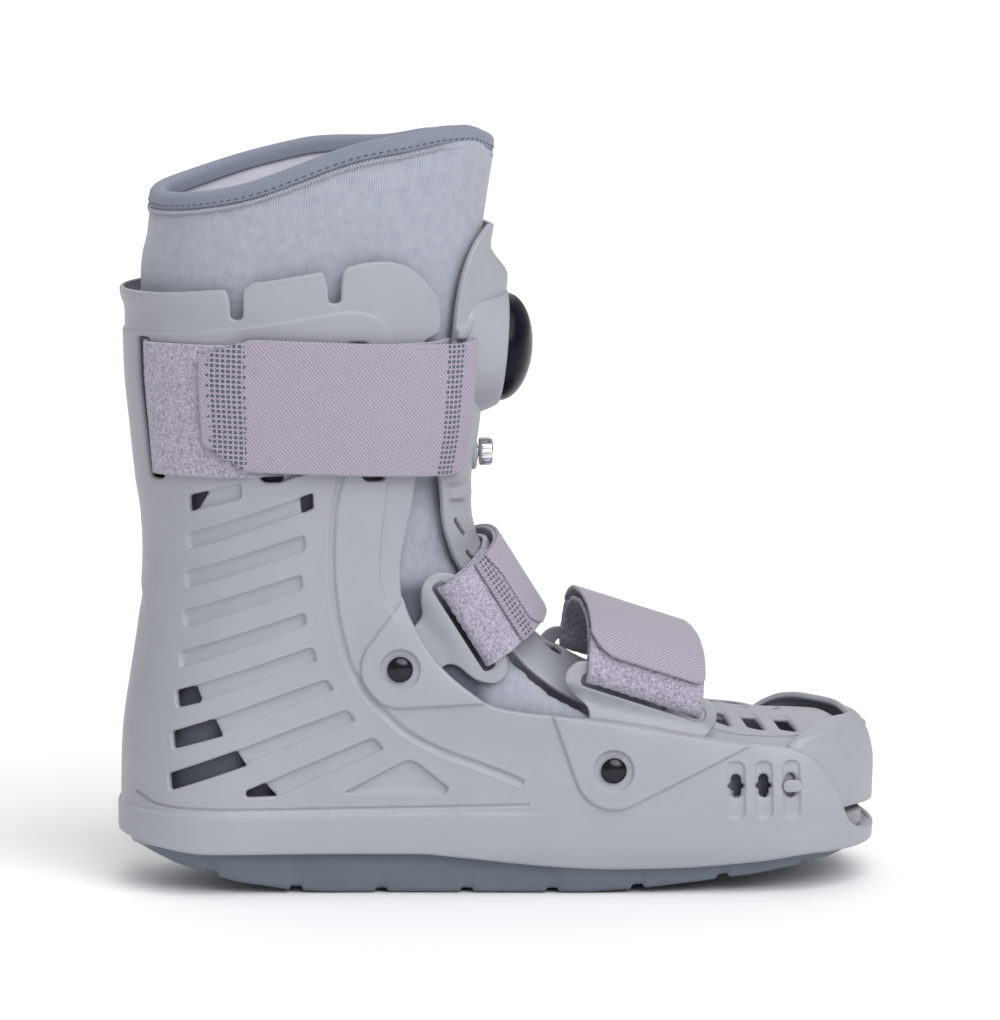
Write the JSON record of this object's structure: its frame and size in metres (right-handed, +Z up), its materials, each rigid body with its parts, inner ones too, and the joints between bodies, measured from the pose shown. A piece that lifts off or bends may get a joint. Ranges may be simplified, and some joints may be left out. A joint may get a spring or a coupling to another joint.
{
  "type": "pneumatic walking boot",
  "caption": "Short pneumatic walking boot with a moulded shell, padded liner, front plate with air bulb, toe guard and hook-and-loop straps.",
  "frame": {"origin": "on the ground, under the middle of the boot's length and width", "axes": "+X from heel to toe, +Y to the wearer's left, +Z up"},
  "size_m": [0.3038, 0.121, 0.3027],
  "materials": {
    "shell": "satin moulded plastic",
    "sole": "matt",
    "insole": "matt",
    "liner": "ribbed knit",
    "binding": "twill tape",
    "strap": "woven",
    "pile": "brushed pile",
    "bulb": "glossy",
    "rivet": "dark polished",
    "valve": "polished"
  },
  "bodies": {
    "boot": {"shell": "shell", "sole": "sole", "insole": "insole", "liner": "liner", "liner_binding": "binding", "front_plate": "shell", "air_bulb": "bulb", "valve_stem": "valve", "toe_guard": "shell", "calf_strap": "strap", "ankle_strap": "pile", "ankle_cover": "strap", "ankle_arm_right": "shell", "ankle_rivet_right": "rivet", "ankle_arm_left": "shell", "ankle_rivet_left": "rivet", "forefoot_strap": "pile", "forefoot_cover": "strap", "forefoot_arm_right": "shell", "forefoot_rivet_right": "rivet", "forefoot_arm_left": "shell", "forefoot_rivet_left": "rivet"},
    "knob": {"valve_knob": "valve"}
  },
  "joints": [
    {"name": "valve_turn", "type": "hinge", "parent": "boot", "child": "knob", "pos_m": [-0.005, 0, 0.1708], "axis": [1, 0, 0], "range_deg": [0, 180]}
  ]
}
